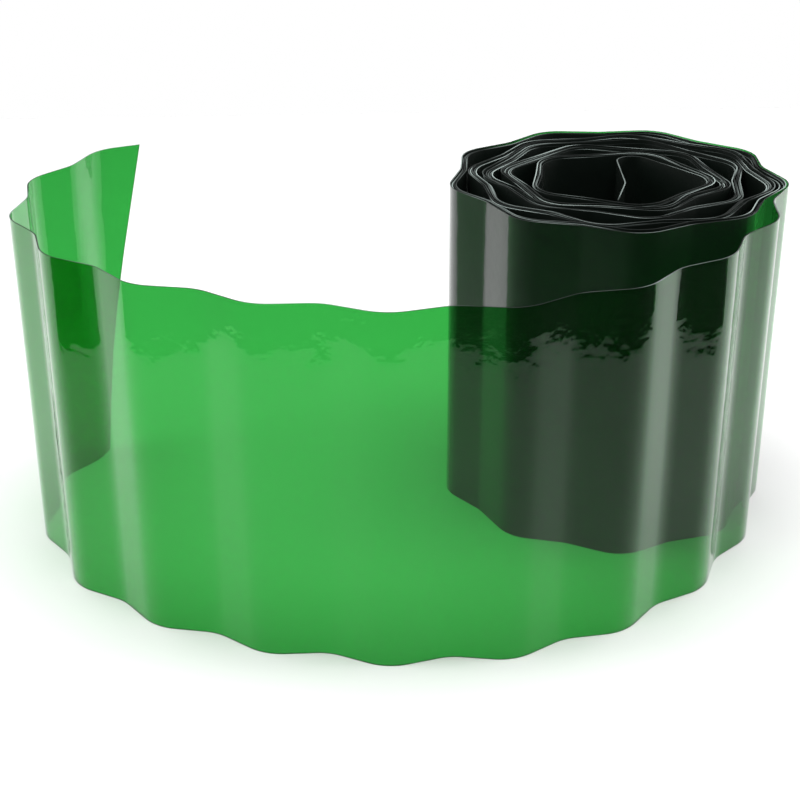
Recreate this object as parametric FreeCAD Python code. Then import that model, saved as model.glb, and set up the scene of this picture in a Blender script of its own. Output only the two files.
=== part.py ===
import FreeCAD, Part

import math
import os

# Corrugated plastic lawn edging: one long strip of thin sheet that stands on its long edge,
# most of it wound up as a coil and the rest led out in front of the coil as a loose tail.
# Seen from above, the strip starts inside the coil's bore, winds outwards clockwise, leaves the
# coil on its right and swings round in front of it.
# Each wave crest or trough is bent round an imaginary upright roller, and the sheet runs
# straight from one roller to the next, like a belt woven between pegs.
# Turns with the same number of waves nest closely and are solid together; nests with different
# numbers of waves touch only here and there, and lens-shaped gaps stay open between them.
# Lengths are in millimetres and angles in degrees. Plans are drawn round the coil's centre, and
# the finished strip is moved so that the middle of its box is at the origin.

# Sheet
strip_width = 150.0
sheet_thickness = 0.5
wave_depth = 5.5
wave_pitch = 49.0
bend_fullness = 0.75

# Coil: nests of turns with the same number of waves, the inner nest first
coil_radius = 36.0
turn_gap = 0.35
nest_gap = 0.2
coil_start_at = 25.0
nests = (
    # full turns, half waves past them
    (4, 2),
    (6, 3),
    (5, 4),
    (5, 5),
    (4, 1),
)

# Gaps between nests count as closed where they are narrower than this, or as small as this area
narrowest_gap = 0.8
smallest_gap_area = 4.0

# Groove that shows between two turns of each nest, on both ends of the coil
groove_depth = 1.5
turns_inside_groove = 2

# Inner end: it crosses the bore from front to back, then turns right into the first turn
inner_end = (-0.14 * coil_radius, -0.82 * coil_radius)
crossing_point = (0.07 * coil_radius, -0.055 * coil_radius)
crossing_bend_radius = 21.0
joining_bend_at = 66.0
joining_bend_radius = 7.5

# Tail: half waves from the coil to the last bend, what is left past it, and the gentle bends
# to the right that the tail's path makes, with the radius of the last one
tail_half_waves = 22
free_end_run = 11.0
tail_bends = (
    # radius, length along the path
    (186.0, 87.0),
    (160.0, 174.0),
    (231.0, 87.0),
    (124.0, 87.0),
)
last_tail_bend_radius = 99.0

half_sheet = sheet_thickness / 2
half_depth = wave_depth / 2
half_pitch = wave_pitch / 2
turn_pitch = sheet_thickness + turn_gap
full_turn = 2 * math.pi

# The inner end and two bends come before the coil's first bend
first_bend = 3


def tightest_wave(path_radius, half_wave_angle):
    """Bend radius at which the waves of a round path would have no straight flank left."""
    drop = 1 - math.cos(half_wave_angle)
    a = 2 * drop
    b = 8 * half_depth - 4 * drop * half_depth
    c = 4 * half_depth ** 2 + 2 * drop * (path_radius ** 2 - half_depth ** 2)
    return (math.sqrt(b ** 2 + 4 * a * c) - b) / (2 * a)


def wave_roller(x, y, outward, side, bend_radius):
    """Roller of a crest (side 1) or trough (side -1) on the path: centre and signed radius."""
    reach = side * (half_depth - bend_radius)
    return (x + reach * math.cos(outward), y + reach * math.sin(outward), side * bend_radius)


def coil_path_radius(winding, starts):
    """Mean radius of the coil: even turns, held off by waves that don't mesh with those inside."""
    radius = coil_radius + turn_pitch * winding / full_turn
    for start in starts:
        radius += nest_gap + wave_depth * abs(math.sin((winding - start) / 2))
    return radius


def waves_to_turn(path_radius, full_turns, held_off):
    """Waves to each turn of a nest, and the radius of their bends: as many waves as have room,
    or more, so that a trough in the widest turn still dips below the line of its crests."""
    waves = math.ceil(full_turn * path_radius / wave_pitch)
    widest_radius = path_radius + turn_pitch * (full_turns + 1) + held_off
    while True:
        step = math.pi / waves
        bend_radius = bend_fullness * tightest_wave(path_radius, step)
        if wave_depth > 2 * (widest_radius - bend_radius) * math.tan(step / 2) ** 2:
            return waves, bend_radius
        waves += 1


def coil_rollers():
    """Rollers of the coil, each nest's first and last bend and half waves to a turn, and where
    the coil's path ends: radius, polar angle and side of the last bend."""
    rollers = []
    nest_bends = []
    starts = []
    winding = 0.0
    side = 1
    for full_turns, more in nests:
        held_off = wave_depth if starts else 0.0
        start_radius = coil_path_radius(winding, starts)
        waves, bend_radius = waves_to_turn(start_radius, full_turns, held_off)
        half_waves = 2 * waves * full_turns + more
        first = first_bend + len(rollers)
        nest_bends.append((first, first + half_waves - 1, 2 * waves))
        step = math.pi / waves
        for index in range(half_waves):
            winding += step
            if index == half_waves - 1:
                starts.append(winding)
            radius = coil_path_radius(winding, starts)
            angle = math.radians(coil_start_at) - winding
            x = radius * math.cos(angle)
            y = radius * math.sin(angle)
            rollers.append(wave_roller(x, y, angle, side, bend_radius))
            side = -side
    return rollers, nest_bends, (radius, angle, -side)


def along_tail(x, y, heading, distance):
    """Point and heading of the tail's path at a distance from the coil."""
    for radius, length in tail_bends + ((last_tail_bend_radius, distance),):
        run = min(distance, length)
        turned = heading - run / radius
        x += radius * (math.sin(heading) - math.sin(turned))
        y += radius * (math.cos(turned) - math.cos(heading))
        heading = turned
        distance -= run
        bend = radius
        if distance <= 0:
            break
    return x, y, heading, bend


def tail_rollers(radius, angle, side):
    """Rollers of the tail past the coil's last one, and one more, towards which it ends."""
    coil_end = (radius * math.cos(angle), radius * math.sin(angle), angle - math.pi / 2)
    rollers = []
    for index in range(tail_half_waves + 1):
        side = -side
        x, y, heading, bend = along_tail(*coil_end, (index + 1) * half_pitch)
        bend_radius = bend_fullness * tightest_wave(bend, half_pitch / bend)
        rollers.append(wave_roller(x, y, heading + math.pi / 2, side, bend_radius))
    return rollers


def belt_headings(rollers):
    """Heading of the straight flank that leaves each roller, and at the end the last one again."""
    headings = []
    for here, there in zip(rollers, rollers[1:]):
        dx = there[0] - here[0]
        dy = there[1] - here[1]
        crossing = here[2] - there[2]
        flank = math.sqrt(dx ** 2 + dy ** 2 - crossing ** 2)
        headings.append(math.atan2(dy, dx) - math.atan2(crossing, flank))
    return headings + headings[-1:]


def on_roller(roller, heading, offset):
    """Point where a face of the sheet, offset to the left, passes a roller on a heading."""
    reach = roller[2] + offset
    x = roller[0] - reach * math.sin(heading)
    y = roller[1] + reach * math.cos(heading)
    return FreeCAD.Vector(x, y, 0)


def woven_belt():
    """Rollers of the whole strip, each with its leaving heading and the turn round it, and the
    bends of each nest."""
    joining_at = math.radians(joining_bend_at)
    joining_reach = coil_radius - joining_bend_radius
    joining_x = joining_reach * math.cos(joining_at)
    joining_y = joining_reach * math.sin(joining_at)
    rollers = [
        inner_end + (0.0,),
        (crossing_point[0] - crossing_bend_radius, crossing_point[1], -crossing_bend_radius),
        (joining_x, joining_y, joining_bend_radius),
    ]
    wound, nest_bends, coil_end = coil_rollers()
    rollers += wound + tail_rollers(*coil_end)
    headings = belt_headings(rollers)
    turns = [0.0]
    for arriving, leaving in zip(headings, headings[1:]):
        turns.append(math.remainder(leaving - arriving, full_turn))
    last_flank = FreeCAD.Vector(math.cos(headings[-1]), math.sin(headings[-1]), 0)
    free_end = on_roller(rollers[-2], headings[-1], 0) + last_flank * free_end_run
    rollers[-1] = (free_end.x, free_end.y, 0.0)
    return list(zip(rollers, headings, turns)), nest_bends


def face_point(belt, index, offset):
    """Where a face of the sheet passes the middle of a bend, or where it ends."""
    roller, heading, turn = belt[index]
    return on_roller(roller, heading - turn / 2, offset)


def bend_edge(roller, heading, turn, offset):
    """Round edge of a face of the sheet that arrives at a roller on a heading."""
    start = on_roller(roller, heading, offset)
    middle = on_roller(roller, heading + turn / 2, offset)
    end = on_roller(roller, heading + turn, offset)
    return Part.Arc(start, middle, end).toShape()


def face_edges(belt, first, last, offset):
    """Edges of a face of the sheet from the middle of one bend to the middle of another."""
    roller, heading, turn = belt[first]
    edges = []
    if turn:
        edges.append(bend_edge(roller, heading - turn / 2, turn / 2, offset))
    for index in range(first + 1, last + 1):
        here = on_roller(roller, heading, offset)
        roller, leaving, turn = belt[index]
        there = on_roller(roller, heading, offset)
        edges.append(Part.LineSegment(here, there).toShape())
        if index == last:
            turn /= 2
        if turn:
            edges.append(bend_edge(roller, heading, turn, offset))
        heading = leaving
    return edges


def straight_edge(belt, here, there):
    """Edge between two face points, each given as a bend and an offset."""
    return Part.LineSegment(face_point(belt, *here), face_point(belt, *there)).toShape()


def area_between(belt, left, right):
    """Flat area between two runs of faces: the bends they start and end at, and the offset."""
    left_first, left_last, left_offset = left
    right_first, right_last, right_offset = right
    edges = face_edges(belt, *left)
    edges.append(straight_edge(belt, (left_last, left_offset), (right_last, right_offset)))
    edges += face_edges(belt, *right)[::-1]
    edges.append(straight_edge(belt, (right_first, right_offset), (left_first, left_offset)))
    return Part.Face(Part.Wire(edges))


def area_inside(belt, first, last, offset):
    """Flat area inside one turn of a face."""
    edges = face_edges(belt, first, last, offset)
    edges.append(straight_edge(belt, (last, offset), (first, offset)))
    return Part.Face(Part.Wire(edges))


def gaps_between_nests(belt, nest_bends):
    """Lens-shaped gaps where the waves of neighbouring nests don't mesh."""
    margin = half_sheet + narrowest_gap / 2
    gaps = []
    for (_, bend, turn_inside), (_, _, turn_outside) in zip(nest_bends, nest_bends[1:]):
        held_off = area_inside(belt, bend, bend + turn_outside, -margin)
        filled = area_inside(belt, bend - turn_inside, bend, margin)
        for gap in held_off.cut(filled).Faces:
            if gap.Area > smallest_gap_area:
                gaps.append(gap)
    return gaps


def groove_areas(belt, nest_bends):
    """Narrow areas between two turns of each nest, a full turn long."""
    areas = []
    for first, _, turn in nest_bends:
        inside = first + (turns_inside_groove - 1) * turn
        areas.append(
            area_between(
                belt,
                (inside, inside + turn, half_sheet),
                (inside + turn, inside + 2 * turn, -half_sheet),
            )
        )
    return areas


def edging_strip():
    """The whole strip as one solid, its long edge on the floor."""
    belt, nest_bends = woven_belt()
    _, _, inner_turn = nest_bends[0]
    _, leaving_bend, outer_turn = nest_bends[-1]
    free_end = len(belt) - 1
    plan = area_between(
        belt,
        (leaving_bend - outer_turn, free_end, half_sheet),
        (leaving_bend, free_end, -half_sheet),
    )
    bore = area_between(
        belt,
        (0, first_bend + inner_turn, -half_sheet),
        (0, first_bend, half_sheet),
    )
    plan = plan.cut([bore] + gaps_between_nests(belt, nest_bends))
    strip = plan.extrude(FreeCAD.Vector(0, 0, strip_width))
    depth = FreeCAD.Vector(0, 0, groove_depth)
    grooves = []
    for area in groove_areas(belt, nest_bends):
        grooves.append(area.extrude(depth))
        area.translate(FreeCAD.Vector(0, 0, strip_width) - depth)
        grooves.append(area.extrude(depth))
    strip = strip.cut(grooves)
    box = strip.BoundBox
    strip.translate(FreeCAD.Vector(-box.Center.x, -box.Center.y, 0))
    return strip


os.makedirs("parts", exist_ok=True)
strip = edging_strip()
strip.exportStep("parts/edging_strip.step")
box = strip.BoundBox
print("box", round(box.XLength, 1), round(box.YLength, 1), round(box.ZLength, 1))
print("volume", round(strip.Volume), "faces", len(strip.Faces))
print("valid", strip.isValid(), "solids", len(strip.Solids))
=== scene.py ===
import bisect
import math

import bpy
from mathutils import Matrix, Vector


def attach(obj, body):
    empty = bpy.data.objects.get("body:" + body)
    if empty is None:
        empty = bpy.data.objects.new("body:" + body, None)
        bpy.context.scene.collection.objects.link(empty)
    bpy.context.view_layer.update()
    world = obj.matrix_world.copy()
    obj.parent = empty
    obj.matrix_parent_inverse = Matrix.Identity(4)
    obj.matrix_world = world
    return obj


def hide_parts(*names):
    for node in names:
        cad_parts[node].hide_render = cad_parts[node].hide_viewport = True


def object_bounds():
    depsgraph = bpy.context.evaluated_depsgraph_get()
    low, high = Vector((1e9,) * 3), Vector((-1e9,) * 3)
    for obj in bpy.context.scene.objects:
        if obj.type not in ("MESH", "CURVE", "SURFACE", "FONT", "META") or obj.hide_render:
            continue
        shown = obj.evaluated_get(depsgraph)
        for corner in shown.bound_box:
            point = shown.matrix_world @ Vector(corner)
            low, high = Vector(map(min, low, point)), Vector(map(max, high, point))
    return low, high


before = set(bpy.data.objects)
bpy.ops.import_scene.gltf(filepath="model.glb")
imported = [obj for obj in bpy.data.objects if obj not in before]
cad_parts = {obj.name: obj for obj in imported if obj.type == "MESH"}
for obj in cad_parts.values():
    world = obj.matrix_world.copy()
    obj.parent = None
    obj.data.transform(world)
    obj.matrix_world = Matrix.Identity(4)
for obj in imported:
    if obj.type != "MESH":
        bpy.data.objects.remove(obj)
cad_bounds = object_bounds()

# Wavy green lawn edging, a thin glossy see-through strip standing on its long edge.
# The strip's line is woven between imaginary upright rollers, one to each crest or trough,
# first round the coil from its bore outwards and then along the loose tail to the free end.
# Lengths are in millimetres up to the mesh, which is in metres.

MM = 0.001

# Sheet
STRIP_WIDTH = 150.0
SHEET_THICKNESS = 0.5
WAVE_DEPTH = 5.5
WAVE_PITCH = 49.0
BEND_FULLNESS = 0.75

# Coil: nests of turns with the same number of waves, as (waves to a turn, half waves)
COIL_RADIUS = 36.0
TURN_GAP = 0.35
NEST_GAP = 0.2
COIL_START_AT = 25.0
NESTS = ((5, 42), (6, 75), (7, 74), (8, 85), (9, 73))

# Inner end, and the two bends that take it into the first turn
INNER_END = (-0.14 * COIL_RADIUS, -0.82 * COIL_RADIUS)
CROSSING_POINT = (0.07 * COIL_RADIUS, -0.055 * COIL_RADIUS)
CROSSING_BEND_RADIUS = 21.0
JOINING_BEND_AT = 66.0
JOINING_BEND_RADIUS = 7.5

# Tail: gentle bends to the right as (radius, length along the path)
TAIL_HALF_WAVES = 22
FREE_END_RUN = 11.0
TAIL_BENDS = ((186.0, 87.0), (160.0, 174.0), (231.0, 87.0), (124.0, 87.0))
LAST_TAIL_BEND_RADIUS = 99.0

# The free end is cut at a slant: so much shorter at its foot, over a last stretch of this length
FREE_END_LEAN = 34.0
LEANING_STRETCH = 60.0

# Wound turns: within so many turns of the coil's end light still gets through the sheet, and
# further in painted shade, a near-black opaque body, fades in over a stretch. Their upper edge
# wanders below full width, by a share of the deepest drop that is a mean and two swings of (share, length,
# phase).
CLEAR_TURNS = 0.35
FADING_STRETCH = 60.0
OUTER_TURN_RADIUS = 70.0
DEEPEST_DROP = 2.2
MEAN_DROP = 0.5
DROP_SWINGS = ((0.3, 97.0, 0.0), (0.2, 41.0, 1.7))
LEVEL_TURNS = 0.2

# Film: what one face lets through, the pigment in it and how much of it that covers
FILM_TINT = (0.18, 0.61, 0.235, 1.0)
PIGMENT_DARK = (0.006, 0.08, 0.02, 1.0)
PIGMENT_LIGHT = (0.015, 0.13, 0.03, 1.0)
# painted shade: near-black body colour of the wound-in turns, where the stacked film falls dark
WOUND_PAINTED_SHADE = (0.001, 0.006, 0.003, 1.0)
FILM_COVER = 0.03
HAZE_COVER = 0.03
SPECK_COVER = 0.04

# Film: mirror shine, seen straight on and how fast it grows towards a slant
LEAST_GLOSS = 0.017
SLANT_GLOSS = 3.8
WOUND_DULLNESS = 0.8
MIRROR_WHITE = (0.95, 0.97, 0.96, 1.0)

# Film: unevenness, as pattern scales and how much each lifts the surface
HAZE_SCALE = 22.0
CRUMPLE_SCALE = 75.0
GRAIN_SCALE = 900.0
SPECK_SCALE = 160.0
SPECK_EDGE = 9.0
CRUMPLE_LIFT = 0.5
GRAIN_LIFT = 0.01
RIPPLE_STRENGTH = 0.9
RIPPLE_HEIGHT = 0.0006

# Cut edge: dark, with painted highlight in pale stretches along the strip
EDGE_DARK = (0.001, 0.004, 0.003, 1.0)
# painted highlight colour of the cut edge
EDGE_PAINTED_GLINT = (0.30, 0.36, 0.34, 1.0)
GLINT_PATCH_SCALE = 60.0
STRETCH_SCALE = 14.0
PALE_CONTRAST = 5.0
PALE_LEVEL = 2.4
LEAST_GLINT_PATCH = 0.3

# Studio, in metres and degrees: the floor ends behind the object, where the white surround takes
# over, and a dark sheet of painted shade, standing for the unlit studio that the film mirrors, lies on it
# as part of a ring in front, below the picture
FLOOR_REACH = 4.0
FLOOR_BACK = 0.7
FLOOR_WHITE = (0.93, 0.93, 0.93, 1.0)
SHADE_SHEET_NEAR = 0.405
SHADE_SHEET_FAR = 2.5
SHADE_SHEET_FROM = 184.0
SHADE_SHEET_STEP = 4.3
SHADE_SHEET_STEPS = 40
SHADE_SHEET_LIFT = 0.002
# painted shade: colour of the dark ring that stands for the unlit studio
SHADE_SHEET_DARK = (0.02, 0.02, 0.02, 1.0)
MOTTLE_SCALE = 2.0
MOTTLE_SHADE = 0.985

# Surround: its strength in front of the object, behind it and in the picture itself
FRONT_GLOW = 0.08
BACK_GLOW = 0.6
PICTURE_WHITE = 1.0
GLOW_FROM = -0.35
GLOW_TO = 0.25

# Lamps: name, width, height, place, the point that it shines at, and power
LAMPS = (
    ("top_light", 1.6, 1.2, (0.0, -0.1, 1.6), (0.0, -0.1, 0.0), 31.0),
    ("left_light", 0.4, 1.4, (-1.2, -0.1, 0.5), (0.0, 0.0, 0.08), 5.0),
    ("right_light", 0.4, 1.4, (1.2, -0.1, 0.5), (0.0, 0.0, 0.08), 5.0),
)

# Camera, in metres and degrees
CAMERA_PLACE = (-0.0319, -0.6241, 0.3604)
CAMERA_PITCH = 25.57
CAMERA_HEADING = -2.48
CAMERA_ROLL = -0.17
CAMERA_LENS = 70.6
SENSOR_WIDTH = 36.0
NEAREST_SEEN = 0.01

# How finely the mesh follows the line
BEND_STEPS = 8
FLANK_STEPS = 3
ROWS = 6
SHARP_ANGLE = 40.0

# Material slots of the sheet
FILM = 0
CUT_EDGE = 1

HALF_SHEET = SHEET_THICKNESS / 2
HALF_DEPTH = WAVE_DEPTH / 2
HALF_PITCH = WAVE_PITCH / 2
TURN_PITCH = SHEET_THICKNESS + TURN_GAP
FULL_TURN = 2 * math.pi
OUTER_TURN = FULL_TURN * OUTER_TURN_RADIUS


def tightest_wave(path_radius, half_wave_angle):
    """Bend radius at which the waves of a round path would have no straight flank left."""
    drop = 1 - math.cos(half_wave_angle)
    a = 2 * drop
    b = 8 * HALF_DEPTH - 4 * drop * HALF_DEPTH
    c = 4 * HALF_DEPTH ** 2 + 2 * drop * (path_radius ** 2 - HALF_DEPTH ** 2)
    return (math.sqrt(b ** 2 + 4 * a * c) - b) / (2 * a)


def wave_roller(x, y, outward, side, bend_radius):
    """Roller of a crest (side 1) or trough (side -1) on the path: centre and signed radius."""
    reach = side * (HALF_DEPTH - bend_radius)
    return (x + reach * math.cos(outward), y + reach * math.sin(outward), side * bend_radius)


def coil_path_radius(winding, starts):
    """Mean radius of the coil: even turns, held off by waves that don't mesh with those inside."""
    radius = COIL_RADIUS + TURN_PITCH * winding / FULL_TURN
    for start in starts:
        radius += NEST_GAP + WAVE_DEPTH * abs(math.sin((winding - start) / 2))
    return radius


def coil_rollers():
    """Rollers of the whole coil, and where its path ends: radius, polar angle and next side."""
    rollers = []
    starts = []
    winding = 0.0
    side = 1
    for waves, half_waves in NESTS:
        step = math.pi / waves
        bend_radius = BEND_FULLNESS * tightest_wave(coil_path_radius(winding, starts), step)
        for index in range(half_waves):
            winding += step
            if index == half_waves - 1:
                starts.append(winding)
            radius = coil_path_radius(winding, starts)
            angle = math.radians(COIL_START_AT) - winding
            x = radius * math.cos(angle)
            y = radius * math.sin(angle)
            rollers.append(wave_roller(x, y, angle, side, bend_radius))
            side = -side
    return rollers, radius, angle, -side


def along_tail(x, y, heading, distance):
    """Point and heading of the tail's path at a distance from the coil."""
    for radius, length in TAIL_BENDS + ((LAST_TAIL_BEND_RADIUS, distance),):
        run = min(distance, length)
        turned = heading - run / radius
        x += radius * (math.sin(heading) - math.sin(turned))
        y += radius * (math.cos(turned) - math.cos(heading))
        heading = turned
        distance -= run
        bend = radius
        if distance <= 0:
            break
    return x, y, heading, bend


def tail_rollers(radius, angle, side):
    """Rollers of the tail past the coil's last one, and one more, towards which it ends."""
    coil_end = (radius * math.cos(angle), radius * math.sin(angle), angle - math.pi / 2)
    rollers = []
    for index in range(TAIL_HALF_WAVES + 1):
        side = -side
        x, y, heading, bend = along_tail(*coil_end, (index + 1) * HALF_PITCH)
        bend_radius = BEND_FULLNESS * tightest_wave(bend, HALF_PITCH / bend)
        rollers.append(wave_roller(x, y, heading + math.pi / 2, side, bend_radius))
    return rollers


def belt_headings(rollers):
    """Heading of each straight flank between one roller and the next."""
    headings = []
    for here, there in zip(rollers, rollers[1:]):
        dx = there[0] - here[0]
        dy = there[1] - here[1]
        crossing = here[2] - there[2]
        flank = math.sqrt(dx ** 2 + dy ** 2 - crossing ** 2)
        headings.append(math.atan2(dy, dx) - math.atan2(crossing, flank))
    return headings


def on_roller(roller, heading):
    """Point of the sheet's middle line that passes a roller on a heading, and the heading."""
    x = roller[0] - roller[2] * math.sin(heading)
    y = roller[1] + roller[2] * math.cos(heading)
    return x, y, heading


def middle_line():
    """The strip's middle line from the inner end to the free end, as points with headings."""
    joining_at = math.radians(JOINING_BEND_AT)
    joining_reach = COIL_RADIUS - JOINING_BEND_RADIUS
    joining_x = joining_reach * math.cos(joining_at)
    joining_y = joining_reach * math.sin(joining_at)
    rollers = [
        INNER_END + (0.0,),
        (CROSSING_POINT[0] - CROSSING_BEND_RADIUS, CROSSING_POINT[1], -CROSSING_BEND_RADIUS),
        (joining_x, joining_y, JOINING_BEND_RADIUS),
    ]
    wound, radius, angle, side = coil_rollers()
    rollers += wound + tail_rollers(radius, angle, side)
    headings = belt_headings(rollers)
    line = [on_roller(rollers[0], headings[0])]
    coil_bends = len(rollers) - TAIL_HALF_WAVES - 1
    for index, heading in enumerate(headings[:-1]):
        if index + 1 == coil_bends:
            coil_points = len(line)
        x0, y0, _ = line[-1]
        x1, y1, _ = on_roller(rollers[index + 1], heading)
        for step in range(1, FLANK_STEPS + 1):
            share = step / FLANK_STEPS
            line.append((x0 + (x1 - x0) * share, y0 + (y1 - y0) * share, heading))
        turn = math.remainder(headings[index + 1] - heading, FULL_TURN)
        for step in range(1, BEND_STEPS + 1):
            line.append(on_roller(rollers[index + 1], heading + turn * step / BEND_STEPS))
    x, y, heading = line[-1]
    end = (x + FREE_END_RUN * math.cos(heading), y + FREE_END_RUN * math.sin(heading), heading)
    return line + [end], coil_points


def edge_drop(run, coil_run):
    """How far the upper edge of a wound turn lies below full width, as a slow uneven wander."""
    wander = MEAN_DROP
    for share, length, phase in DROP_SWINGS:
        wander += share * math.sin(run / length + phase)
    turns_in = (coil_run - run) / OUTER_TURN - LEVEL_TURNS
    return DEEPEST_DROP * wander * min(1.0, max(0.0, turns_in))


def cut_back(run, strip_length, height_share):
    """Distance along the strip of a point near the free end, drawn back towards the foot."""
    start = strip_length - LEANING_STRETCH
    kept = 1.0 - FREE_END_LEAN * (1.0 - height_share) / LEANING_STRETCH
    return start + (run - start) * kept if run > start else run


def point_at(edge, travelled, run):
    """Point of a face's line at a distance along the strip."""
    last = min(max(bisect.bisect_left(travelled, run), 1), len(travelled) - 1)
    share = (run - travelled[last - 1]) / (travelled[last] - travelled[last - 1])
    (x0, y0), (x1, y1) = edge[last - 1], edge[last]
    return x0 + (x1 - x0) * share, y0 + (y1 - y0) * share


def face_lines(line):
    """Plan lines of the sheet's two faces, moved so that the strip fills the solid's box."""
    lines = [[], []]
    for x, y, heading in line:
        out_x = -math.sin(heading) * HALF_SHEET
        out_y = math.cos(heading) * HALF_SHEET
        lines[0].append((x + out_x, y + out_y))
        lines[1].append((x - out_x, y - out_y))
    lowest, highest = (Vector(corner) for corner in cad_bounds)
    xs = [x for points in lines for x, _ in points]
    ys = [y for points in lines for _, y in points]
    shift_x = (lowest.x + highest.x) / 2 / MM - (min(xs) + max(xs)) / 2
    shift_y = (lowest.y + highest.y) / 2 / MM - (min(ys) + max(ys)) / 2
    return [[(x + shift_x, y + shift_y) for x, y in points] for points in lines]


def sheet_points(line, coil_points):
    """Points of both faces in columns, with the distance along and how wound-in each one is, which sets its
    painted shade.
    """
    travelled = [0.0]
    for here, there in zip(line, line[1:]):
        travelled.append(travelled[-1] + math.dist(here[:2], there[:2]))
    coil_run = travelled[coil_points]
    clear_from = coil_run - CLEAR_TURNS * OUTER_TURN
    vertices = []
    along = []
    wound = []
    for edge in face_lines(line):
        for run in travelled:
            height = STRIP_WIDTH - edge_drop(run, coil_run)
            # painted shade: share of near-black opaque body, growing over a stretch past the clear turns
            shade_share = min(1.0, max(0.0, (clear_from - run) / FADING_STRETCH))
            for row in range(ROWS + 1):
                own_run = cut_back(run, travelled[-1], row / ROWS)
                x, y = point_at(edge, travelled, own_run)
                vertices.append((x * MM, y * MM, height * row / ROWS * MM))
                along.append(own_run * MM)
                wound.append(shade_share)
    return vertices, along, wound


def sheet_faces(count):
    """Faces of the closed sheet between columns of points, and the material slot of each."""
    faces = []
    slots = []
    last = count - 1

    def quad(slot, *corners):
        faces.append([(side * count + index) * (ROWS + 1) + row for side, index, row in corners])
        slots.append(slot)

    for index in range(last):
        ahead = index + 1
        for row in range(ROWS):
            above = row + 1
            quad(FILM, (0, ahead, row), (0, index, row), (0, index, above), (0, ahead, above))
            quad(FILM, (1, index, row), (1, ahead, row), (1, ahead, above), (1, index, above))
        quad(CUT_EDGE, (0, index, ROWS), (1, index, ROWS), (1, ahead, ROWS), (0, ahead, ROWS))
        quad(CUT_EDGE, (1, index, 0), (0, index, 0), (0, ahead, 0), (1, ahead, 0))
    for row in range(ROWS):
        above = row + 1
        quad(CUT_EDGE, (1, 0, row), (1, 0, above), (0, 0, above), (0, 0, row))
        quad(CUT_EDGE, (0, last, row), (0, last, above), (1, last, above), (1, last, row))
    return faces, slots


def strip_mesh(line, coil_points):
    """The sheet as a closed mesh: two faces in rows, the long edges and the two cut ends."""
    vertices, along, wound = sheet_points(line, coil_points)
    faces, slots = sheet_faces(len(line))
    mesh = bpy.data.meshes.new("edging_strip_sheet")
    mesh.from_pydata(vertices, [], faces)
    mesh.attributes.new("along", "FLOAT", "POINT").data.foreach_set("value", along)
    mesh.attributes.new("wound", "FLOAT", "POINT").data.foreach_set("value", wound)
    mesh.polygons.foreach_set("material_index", slots)
    mesh.polygons.foreach_set("use_smooth", [slot == FILM for slot in slots])
    mesh.set_sharp_from_angle(angle=math.radians(SHARP_ANGLE))
    mesh.update()
    return mesh


# Shader maths: sockets wrapped so that node arithmetic reads as plain expressions


class Wire:
    """A value inside a material: the socket that carries it, with the usual operators."""

    def __init__(self, nodes, socket):
        self.nodes = nodes
        self.socket = socket

    def maths(self, operation, *others):
        return self.nodes.make("ShaderNodeMath", {"operation": operation}, self, *others)

    def __add__(self, other):
        return self.maths("ADD", other)

    def __radd__(self, other):
        return self.maths("ADD", other)

    def __sub__(self, other):
        return self.maths("SUBTRACT", other)

    def __rsub__(self, other):
        return self.nodes.make("ShaderNodeMath", {"operation": "SUBTRACT"}, other, self)

    def __mul__(self, other):
        return self.maths("MULTIPLY", other)

    def __rmul__(self, other):
        return self.maths("MULTIPLY", other)

    def __truediv__(self, other):
        return self.maths("DIVIDE", other)

    def __pow__(self, other):
        return self.maths("POWER", other)

    def kept_between(self, low, high):
        return self.maths("MAXIMUM", low).maths("MINIMUM", high)


class Shading:
    """The nodes of a material or of the surround, with one method that makes any node."""

    def __init__(self, owner):
        owner.use_nodes = True
        self.owner = owner
        self.tree = owner.node_tree
        self.tree.nodes.clear()

    def make(self, kind, settings, *inputs, out=0):
        """A node of a kind: its settings, then its inputs in order or as (name, value) pairs."""
        node = self.tree.nodes.new(kind)
        for name, value in settings.items():
            setattr(node, name, value)
        for index, value in enumerate(inputs):
            key = index
            if isinstance(value, tuple) and isinstance(value[0], str):
                key, value = value
            if isinstance(value, Wire):
                self.tree.links.new(value.socket, node.inputs[key])
            elif value is not None:
                node.inputs[key].default_value = value
        return Wire(self, node.outputs[out])

    def mix_colour(self, factor, first, second):
        settings = {"data_type": "RGBA"}
        node = self.make("ShaderNodeMix", settings, ("Factor", factor), out=2)
        for index, colour in ((6, first), (7, second)):
            if isinstance(colour, Wire):
                self.tree.links.new(colour.socket, node.socket.node.inputs[index])
            else:
                node.socket.node.inputs[index].default_value = colour
        return node

    def finish(self, shader, kind="ShaderNodeOutputMaterial"):
        """The material or surround, with this shader as its surface."""
        output = self.tree.nodes.new(kind)
        self.tree.links.new(shader.socket, output.inputs["Surface"])
        return self.owner


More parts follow.
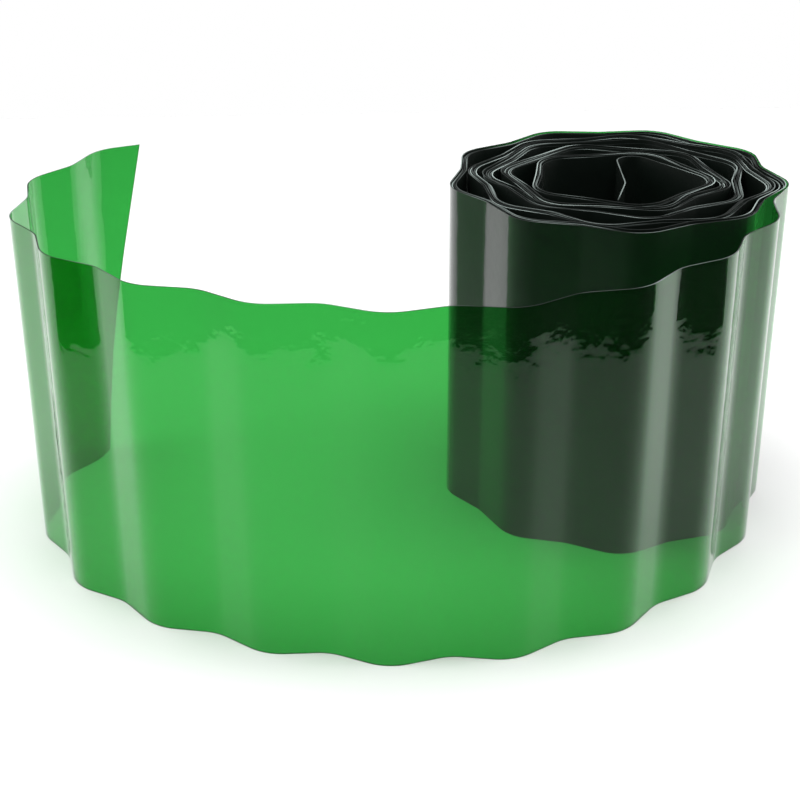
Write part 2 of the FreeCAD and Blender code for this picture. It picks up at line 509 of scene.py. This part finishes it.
def sheet_material():
    """Thin green film: it tints what is behind it and mirrors the studio at a slant; wound-in turns get
    painted shade as a near-black opaque body.
    """
    m = Shading(bpy.data.materials.new("green_film"))
    place = m.make("ShaderNodeTexCoord", {}, out=3)
    facing = m.make("ShaderNodeLayerWeight", {}, 0.5, out=1)
    wound = m.make("ShaderNodeAttribute", {"attribute_name": "wound"}, out=2)

    def noise(scale, detail):
        return m.make("ShaderNodeTexNoise", {}, ("Vector", place), ("Scale", scale), ("Detail", detail))

    haze = noise(HAZE_SCALE, 3.0)
    crumple = noise(CRUMPLE_SCALE, 3.0)
    grain = noise(GRAIN_SCALE, 1.0)
    specks = m.make("ShaderNodeTexVoronoi", {}, ("Vector", place), ("Scale", SPECK_SCALE))
    speck = (1 - specks * SPECK_EDGE).kept_between(0.0, 1.0)
    ripple = m.make(
        "ShaderNodeBump",
        {},
        ("Strength", RIPPLE_STRENGTH),
        ("Distance", RIPPLE_HEIGHT),
        ("Height", haze + crumple * CRUMPLE_LIFT + grain * GRAIN_LIFT),
    )
    clear = m.make("ShaderNodeBsdfTransparent", {}, FILM_TINT)
    # body colour: the pigment, turning to painted shade (near-black) on wound-in turns
    body = m.make(
        "ShaderNodeBsdfPrincipled",
        {},
        ("Base Color", m.mix_colour(wound, m.mix_colour(haze, PIGMENT_DARK, PIGMENT_LIGHT), WOUND_PAINTED_SHADE)),
        ("Roughness", 0.4 + haze * 0.2),
        ("Normal", ripple),
    )
    mirror = m.make(
        "ShaderNodeBsdfPrincipled",
        {},
        ("Base Color", MIRROR_WHITE),
        ("Metallic", 1.0),
        ("Roughness", 0.02 + haze * 0.04),
        ("Normal", ripple),
    )
    # painted shade: on wound-in turns the body covers the film fully
    cover = (FILM_COVER + haze * HAZE_COVER + speck * SPECK_COVER + wound).kept_between(0.0, 1.0)
    film = m.make("ShaderNodeMixShader", {}, cover, clear, body)
    least = LEAST_GLOSS * (1 - wound * WOUND_DULLNESS)
    glance = (least + facing ** SLANT_GLOSS * (1.0 - LEAST_GLOSS)).kept_between(0.0, 1.0)
    return m.finish(m.make("ShaderNodeMixShader", {}, glance, film, mirror))


def edge_material():
    """Cut edge of the sheet, with painted highlight in pale stretches along it."""
    m = Shading(bpy.data.materials.new("cut_edge"))
    place = m.make("ShaderNodeTexCoord", {}, out=3)
    along = m.make("ShaderNodeAttribute", {"attribute_name": "along"}, out=2)
    # one noise sets both where the painted highlight patches fall and the roughness
    glint_and_roughness = m.make("ShaderNodeTexNoise", {}, ("Vector", place), ("Scale", GLINT_PATCH_SCALE), ("Detail", 4.0))
    one_way = {"noise_dimensions": "1D"}
    stretch = m.make("ShaderNodeTexNoise", one_way, ("W", along), ("Scale", STRETCH_SCALE), ("Detail", 2.0))
    # painted highlight: pale stretches along the strip, in patches
    painted_glint = (stretch * PALE_CONTRAST - PALE_LEVEL) * (glint_and_roughness + LEAST_GLINT_PATCH)
    edge = m.make(
        "ShaderNodeBsdfPrincipled",
        {},
        ("Base Color", m.mix_colour(painted_glint.kept_between(0.0, 1.0), EDGE_DARK, EDGE_PAINTED_GLINT)),
        ("Roughness", 0.5 + glint_and_roughness * 0.3),
        ("Specular IOR Level", 0.25),
    )
    return m.finish(edge)


strip = bpy.data.objects.new("edging_strip_finish", strip_mesh(*middle_line()))
bpy.context.collection.objects.link(strip)
strip.data.materials.append(sheet_material())
strip.data.materials.append(edge_material())
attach(strip, "root")
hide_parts("edging_strip")

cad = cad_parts["edging_strip"]
cad.data.materials.clear()
cad.data.materials.append(sheet_material())

# Studio: a white floor, a white surround that the camera sees, and soft lights


def studio_panel(name, outline, height, material):
    """A flat level sheet in the studio."""
    mesh = bpy.data.meshes.new(name)
    mesh.from_pydata([(x, y, height) for x, y in outline], [], [range(len(outline))])
    panel = bpy.data.objects.new(name, mesh)
    bpy.context.collection.objects.link(panel)
    mesh.materials.append(material)


def on_circle(radius, degrees):
    """Point on the floor at a radius round the middle."""
    return radius * math.cos(math.radians(degrees)), radius * math.sin(math.radians(degrees))


def plain_material(name, colour, roughness):
    """Even studio surface with a faint mottle."""
    m = Shading(bpy.data.materials.new(name))
    place = m.make("ShaderNodeTexCoord", {}, out=3)
    mottle = m.make("ShaderNodeTexNoise", {}, ("Vector", place), ("Scale", MOTTLE_SCALE))
    darker = tuple(value * MOTTLE_SHADE for value in colour[:3]) + (1.0,)
    shade = m.mix_colour(mottle, darker, colour)
    return m.finish(m.make("ShaderNodeBsdfPrincipled", {}, ("Base Color", shade), ("Roughness", roughness)))


def area_light(name, width, height, place, aim, power):
    """A soft rectangular lamp that shines at a point."""
    light = bpy.data.lights.new(name, "AREA")
    light.shape = "RECTANGLE"
    light.size = width
    light.size_y = height
    light.energy = power
    lamp = bpy.data.objects.new(name, light)
    bpy.context.collection.objects.link(lamp)
    lamp.location = place
    lamp.rotation_euler = (Vector(aim) - Vector(place)).to_track_quat("-Z", "Y").to_euler()


floor_outline = [
    (-FLOOR_REACH, -FLOOR_REACH),
    (FLOOR_REACH, -FLOOR_REACH),
    (FLOOR_REACH, FLOOR_BACK),
    (-FLOOR_REACH, FLOOR_BACK),
]
studio_panel("floor", floor_outline, 0.0, plain_material("floor_white", FLOOR_WHITE, 0.8))
# painted shade: a dark ring on the floor in front, out of the picture, that the film mirrors as dark
# patches
shade_sheet_angles = [SHADE_SHEET_FROM + step * SHADE_SHEET_STEP for step in range(SHADE_SHEET_STEPS + 1)]
far_side = [on_circle(SHADE_SHEET_FAR, angle) for angle in shade_sheet_angles]
near_side = [on_circle(SHADE_SHEET_NEAR, angle) for angle in reversed(shade_sheet_angles)]
studio_panel("painted_shade_sheet", far_side + near_side, SHADE_SHEET_LIFT, plain_material("painted_shade_dark", SHADE_SHEET_DARK, 0.9))

for lamp_values in LAMPS:
    area_light(*lamp_values)

# Surround: dim in front of the object, brighter behind it, and plain white in the picture itself

surround = Shading(bpy.data.worlds.new("surround"))


def glow(strength):
    """An even white surround of a strength."""
    return surround.make("ShaderNodeBackground", {}, (1.0, 1.0, 1.0, 1.0), strength)


in_picture = surround.make("ShaderNodeLightPath", {})
direction = surround.make("ShaderNodeTexCoord", {})
towards_back = surround.make("ShaderNodeSeparateXYZ", {}, direction, out=1)
smooth = {"interpolation_type": "SMOOTHSTEP"}
behind = surround.make("ShaderNodeMapRange", smooth, towards_back, GLOW_FROM, GLOW_TO)
lit = surround.make("ShaderNodeMixShader", {}, behind, glow(FRONT_GLOW), glow(BACK_GLOW))
white = surround.make("ShaderNodeMixShader", {}, in_picture, lit, glow(PICTURE_WHITE))
bpy.context.scene.world = surround.finish(white, "ShaderNodeOutputWorld")

# Camera

lens = bpy.data.cameras.new("camera")
lens.lens = CAMERA_LENS
lens.sensor_width = SENSOR_WIDTH
lens.clip_start = NEAREST_SEEN
camera = bpy.data.objects.new("camera", lens)
bpy.context.collection.objects.link(camera)
camera.location = CAMERA_PLACE
camera.rotation_euler = (math.radians(90 - CAMERA_PITCH), 0.0, math.radians(CAMERA_HEADING))
camera.rotation_euler.rotate_axis("Z", math.radians(CAMERA_ROLL))
bpy.context.scene.camera = camera
bpy.context.scene.view_settings.view_transform = "Standard"
